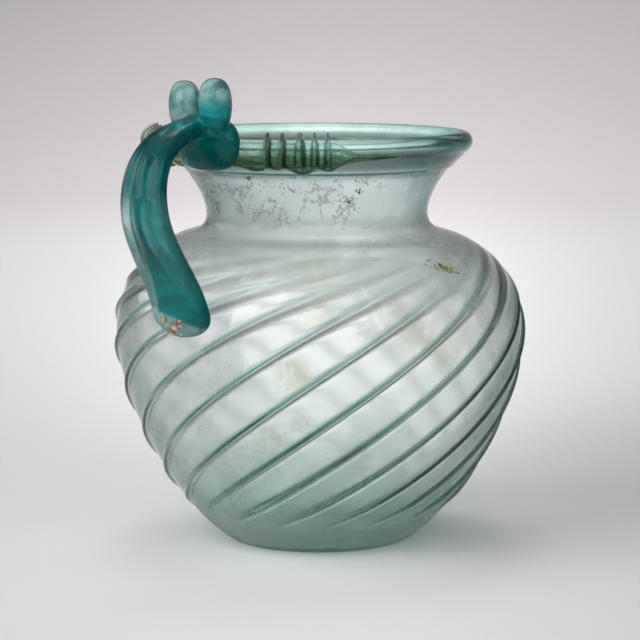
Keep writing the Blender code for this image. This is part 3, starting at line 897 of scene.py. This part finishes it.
def body_material(skin, worn, neck, clear):
    """Pale blue-green glass: clouds, stains, lace on the neck, and a duller inside.

    Washes make it bluer on the neck, greener at the rim, over the base and where it is seen edge
    on. Each rib is greener and darker, most of all on its upper flank and towards the edges: partly
    the ribs' own deeper green, partly painted shade for the dark lines that the ribs draw by refraction.
    """
    material, shader, place = glass("pale_blue_green_glass", body_depth, body_density, body_index)
    tree, up = place.tree, parts_of(place)[2]
    flow = node("Attribute", {}, "Vector", tree, attribute_name="flow")
    within, crest = (node("Attribute", {}, "Fac", tree, attribute_name=key) for key in ("within", "crest"))
    facing = node("LayerWeight", {"Blend": 0.5}, "Facing", tree)
    behind = node("NewGeometry", {}, "Backfacing", tree)
    outside = 1.0 - within
    more = band(up, 0.064, 0.084) * 0.04 - use(clear, {"Place": place})["Share"] * 0.22
    more -= band(up, 0.086, 0.094) * 0.06
    wear = use(skin, {"Place": place, "Flow": flow, "Clear": clear_tone, "More": more, "Milk": body_milk})
    stain = use(worn, {"Place": place})["Share"] * outside
    marks = use(neck, {"Place": place})
    lace = marks["Share"] * outside
    colour = blend(stain, blend(outside, clear_tone, wear["Tint"]), stain_tone)
    sides = {"outside": outside, "inside": within}
    for heights, slant, tone, *one_side in body_washes:
        share = level(up, *heights)
        if slant:
            share *= band(facing, *slant)
        for side in one_side:
            share *= sides[side]
        colour = wash(share, colour, tone)
    steep = maths("MAXIMUM", band(up, 0.074, 0.062), band(up, 0.09, 0.096)) * band(up, 0.004, 0.014)
    colour = wash(band(facing, 0.45, 1.0) * steep * edge_tint, colour, edge_tone)
    # The ribs' tint: partly their own deeper green, partly painted shade for the ribs' dark refraction
    # lines; darkest aslant, paler on the far ribs
    aslant = band(facing, 0.18, 0.75)
    rib_tone_and_shade = blend(aslant, blend(band(up, 0.052, 0.072), rib_low_tone, rib_high_tone), rib_edge_shade_tone)
    hidden = behind * (1.0 - aslant)
    colour = blend(crest * (rib_tint_and_shade - hidden * far_rib_paler), colour, rib_tone_and_shade)
    colour = blend(lace, colour, lace_tone)
    calm = band(up, 0.088, 0.074)
    roughness = (wear["Film"] * film_roughness + clean_roughness + within * inside_roughness
                 + lace * lace_roughness + (1.0 - calm) * neck_roughness
                 + band(up, 0.017, 0.007) * base_roughness + hidden * outside * calm * far_roughness)
    dress(shader, colour, roughness, wear["Height"] * calm + marks["Rings"])
    return material


def handle_material(skin):
    """Deep teal glass, a little cloudy, with drawn-out streaks.

    Its tint goes by place: darker over the bend, paler in the lobes and at the pressed toe, and
    brighter in the pad. The strap's thin side is paler, partly as thinner glass and partly as a
    painted reflection that turns near white towards the bend; a painted reflection in streaks lies
    on the upper strap's main face, and a painted cyan highlight on the near side at the lobes' foot.
    Across runs from -1 to 1 over the strap's width.
    """
    material, shader, place = glass("deep_teal_glass", handle_depth, handle_density, handle_index,
                                    handle_clearness)
    shader.inputs["Specular IOR Level"].default_value = handle_gloss
    wear = use(skin, {"Place": place, "Flow": stretched(place, (1, 1, 0.25)),
                      "Clear": (0.97, 0.99, 0.99), "Milk": (0.72, 0.78, 0.77)})
    streak = noise(stretched(place, (1, 1, 0.08)), 600, 2, 0.55)
    swirl = noise(place, 150, 3, 0.6, 1.0)
    facing = node("LayerWeight", {"Blend": 0.5}, "Facing", place.tree)
    out, side, up = parts_of(place)
    low_share = band(up, reach_z, handle_low_z)
    ridge = low_share * (ridge_top - ridge_low) - ridge_top
    middle = low_share * (handle_lean_top - handle_lean_low) - handle_lean_top
    across = (side - middle) / (low_share * ((strap_foot_width - strap_width) / 2) + strap_width / 2)
    # Painted reflection: pale streaks of a window's reflection on the upper strap's main face
    painted_streaky_reflection = level(across, -0.6, -0.4, -0.22, -0.05) * level(up, 0.085, 0.088, 0.102, 0.106)
    far_side = band(side, -0.001, 0.002)
    lobes = maths("MAXIMUM", band(up, 0.1225, 0.1265), band(up, 0.1175, 0.121) * far_side)
    tone = handle_tones
    tint = blend(band(up, 0.078, 0.09), tone["strap"], tone["strap_high"])
    # The strap's thin side: partly thinner glass, partly a painted reflection, near white towards the bend
    thin_facet_and_painted_reflection = blend(band(up, 0.076, 0.088), tone["thin_facet_and_painted_reflection"], tone["facet_painted_highlight"])
    lobe = blend(band(side, -0.002, 0.001), tone["near_lobe"], tone["far_lobe"])
    lobe = blend(band(swirl, 0.5, 0.66) * 0.5, lobe, tone["lobe_swirl"])
    for share, colour in (
            (band(across - ridge, -0.06, 0.1), thin_facet_and_painted_reflection),
            (painted_streaky_reflection * band(streak, 0.3, 0.6) * 0.8, tone["painted_streaky_reflection"]),
            (band(across, -0.8, -0.94) * band(up, 0.07, 0.088), tone["edge"]),
            (band(up, 0.094, 0.105), tone["bend"]),
            (band(out, -0.051, -0.046), tone["pad"]),
            # Painted cyan highlight at the lobes' foot, on the near side
            (band(up, 0.1165, 0.1195) * (1.0 - far_side), tone["painted_cyan_highlight"]),
            (lobes, lobe),
            (band(up - across * 0.0027, 0.0694, 0.0682), tone["toe"]),
            (band(streak, 0.5, 0.72) * 0.35, tone["streak"])):
        tint = blend(share, tint, colour)
    tint = wash(band(swirl, 0.42, 0.6) * 0.7, tint, tone["swirl"])
    tint = wash(band(facing, 0.4, 0.95) * 0.8, tint, tone["slant"])
    dress(shader, wash(1.0, tint, wear["Tint"]), wear["Film"] * 0.08 + 0.04 + streak * 0.08,
          wear["Height"] + streak * streak_height)
    return material


def trail_material(name, skin, density, clear, dull):
    """Green trail glass with mottled old film, duller and darker towards its hanging edge."""
    material, shader, place = glass(name, trail_depth, density, trail_index, trail_clearness)
    wear = use(skin, {"Place": place, "Flow": place, "Clear": (0.97, 0.99, 0.98),
                      "Milk": (0.72, 0.76, 0.7)})
    mottle = noise(place, 520, 3, 0.6)
    low = parts_of(place)[2] + mottle * 0.005
    tint = blend(band(low, 0.1162, 0.1122) * 0.95, clear, dull)
    dress(shader, wash(1.0, tint, wear["Tint"]), mottle * 0.1, wear["Height"] + mottle * mottle_height)
    return material


def crust_material(name, dark, light):
    """Dull crust whose colour runs between two tones with fine noise, and a grainy surface."""
    material, shader, place = finish_of(name)
    grain = noise(place, 2600, 4, 0.65)
    colour = blend(band(noise(place, 700, 4), 0.35, 0.65), dark, light)
    dress(shader, colour, grain * 0.3 + 0.6, grain * grain_height)
    return material


skin_group = old_skin()
worn_group = patches("worn_places", stain_places, 240, 0.3, 0.54)
clear_group = patches("clear_places", clear_places, 60, 0.3, 0.5)
near_glass = trail_material("dark_green_glass", skin_group, trail_density, near_clear, near_dull)
far_glass = trail_material("old_green_glass", skin_group, old_trail_density, far_clear, far_dull)

vessel(body_material(skin_group, worn_group, neck_wear(), clear_group))
handle(handle_material(skin_group))
trail("pinched_trail_near", 1, right_fins, near_fin_reach, near_glass, "pinched_trail_right")
trail("pinched_trail_far", -1, left_fins, far_fin_reach, far_glass, "pinched_trail_left")
flakes("crust_on_body", *crumbs_on_wall(), crust_material("olive_crust", *olive_tones), "jug_body")
flakes("crust_on_handle", *crumbs_on_strap(), crust_material("brown_crust", *brown_tones), "strap_handle")

# Studio directions, seen from the camera
azimuth = math.radians(camera_azimuth)
towards = Vector((math.sin(azimuth), -math.cos(azimuth), 0))
rightward = Vector((math.cos(azimuth), math.sin(azimuth), 0))
upward = Vector((0, 0, 1))


def studio_place(right, near, up):
    """A place in the studio: metres to the camera's right, towards it, and up."""
    return rightward * right + towards * near + upward * up


def camera():
    """The camera at the photograph's viewing angle."""
    lens = bpy.data.cameras.new("camera")
    lens.sensor_width, lens.lens = sensor_mm, lens_mm
    lens.clip_start, lens.clip_end = 0.05, 20
    thing = placed("camera", lens)
    aim = studio_place(aim_right, 0, aim_height)
    tilt = math.radians(camera_elevation)
    back = towards * math.cos(tilt) + upward * math.sin(tilt)
    thing.location = aim + back * camera_distance
    thing.rotation_euler = (-back).to_track_quat("-Z", "Y").to_euler()
    bpy.context.scene.camera = thing


def sweep(material):
    """Pale floor that turns up into a wall all round, as a bowl turned about the jug's axis."""
    bend = np.array([floor_r, bend_r]) + bend_r * direction(np.linspace(-90, 0, 24))
    line = np.vstack([[0.001, 0.0], bend, [floor_r + bend_r, wall_top]])
    angle = np.arange(sweep_sides) * 2 * math.pi / sweep_sides
    points = around(line[:, :1], angle, line[:, 1:]).reshape(-1, 3)
    thing = surface("sweep", points, grid_faces(len(line), sweep_sides).tolist(), material)


def paper():
    """Pale paper with light and shade painted on it: painted pools of light, lightest behind the jug,
    a painted shadow right of the jug, and painted dimming with distance and height.

    Its brightness is (base + sum of pools) x (high + (1 - high) exp(-height / fall)), a pool
    being its strength x exp(-(across / wide)^2 - (along / deep)^2) round its middle.
    """
    material, shader, place = finish_of("paper_with_painted_light")
    right, near, up = (measured("DOT_PRODUCT", place, way) for way in (rightward, towards, upward))
    light = paper_base
    # Painted pools of light; a pool of negative strength is a painted shadow
    for strength, middle_right, middle_near, wide, deep in painted_light_and_shadow_pools:
        across, back = (right - middle_right) / wide, (near - middle_near) / deep
        light = maths("EXPONENT", (across * across + back * back) * -1.0) * strength + light
    # Painted dimming up the wall
    light = light * (maths("EXPONENT", up / -wall_fall) * (1 - wall_high) + wall_high)
    tone = blend(band(near, -0.45, -1.2), paper_near_tone, paper_far_tone)
    fill(shader, {"Base Color": wash(1.0, tone, light), "Roughness": 0.9})
    return material


def softbox(name, place, target, size, power, spread=180):
    """A rectangular area light that looks at a target, its beam narrowed to a spread in degrees."""
    light = bpy.data.lights.new(name, "AREA")
    light.shape = "RECTANGLE"
    light.size, light.size_y = size
    light.energy = power
    light.spread = math.radians(spread)
    thing = placed(name, light)
    thing.location = place
    thing.rotation_euler = (target - place).to_track_quat("-Z", "Y").to_euler()
    thing.visible_camera = False


camera()
sweep(paper())
jug_middle, back_place = Vector((0, 0, 0.06)), studio_place(0.05, -1.05, 1.4)
softbox("left_softbox", studio_place(-0.95, -0.42, 0.5), jug_middle, (0.7, 0.5), 1.6)
softbox("key_softbox", studio_place(-0.95, 0.63, 0.85), jug_middle, (1.2, 1.2), 11.5)
softbox("back_softbox", back_place, back_place * Vector((1, 1, 0)), (1.3, 1.0), 4.6, 85)
softbox("front_softbox", studio_place(0.25, 1.1, 0.85), jug_middle, (1.5, 1.0), 6.5)
world = bpy.data.worlds.new("studio")
world.use_nodes = True
world.node_tree.nodes["Background"].inputs["Color"].default_value = (0.42, 0.42, 0.425, 1)
scene = bpy.context.scene
scene.world = world
scene.view_settings.view_transform = "Standard"
cycles = scene.cycles
cycles.max_bounces, cycles.transmission_bounces, cycles.glossy_bounces = 16, 14, 4
cycles.adaptive_threshold = 0.04
cycles.sample_clamp_indirect, cycles.use_light_tree = 4, False
cycles.transparent_max_bounces, cycles.volume_bounces = 16, 0
